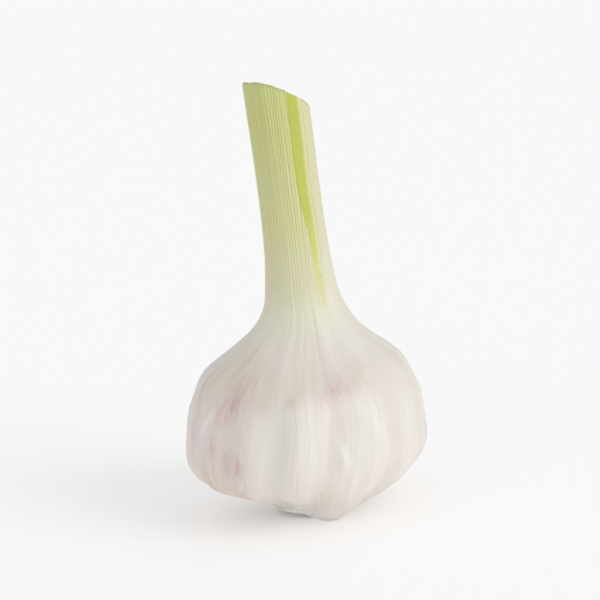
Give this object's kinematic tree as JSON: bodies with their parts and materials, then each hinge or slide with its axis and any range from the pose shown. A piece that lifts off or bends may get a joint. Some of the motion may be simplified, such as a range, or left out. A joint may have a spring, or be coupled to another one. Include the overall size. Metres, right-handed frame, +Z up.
{
  "type": "garlic bulb",
  "caption": "Fresh garlic bulb with a slanted cut green stem; the outer leaf is drawn over lobed cloves and slit along the stem, and a root plate lies underneath.",
  "frame": {"origin": "middle of the small flat hub under the root plate, which the bulb rests on", "axes": "+Z up along the bulb and its stem, +X to the right and -Y towards the viewer when the slit of the stem is in front"},
  "size_m": [0.0605, 0.0602, 0.1092],
  "materials": {
    "skin": "fresh papery leaf skin, white to cream with fine lengthwise veins and pink blotches, green on the stem",
    "leaf": "moist smooth fresh leaf, bright yellow green",
    "roots": "dry rough fibrous root plate, tan"
  },
  "bodies": {
    "root": {"bulb": "skin", "inner_leaves": "leaf", "root_plate": "roots"}
  },
  "joints": []
}
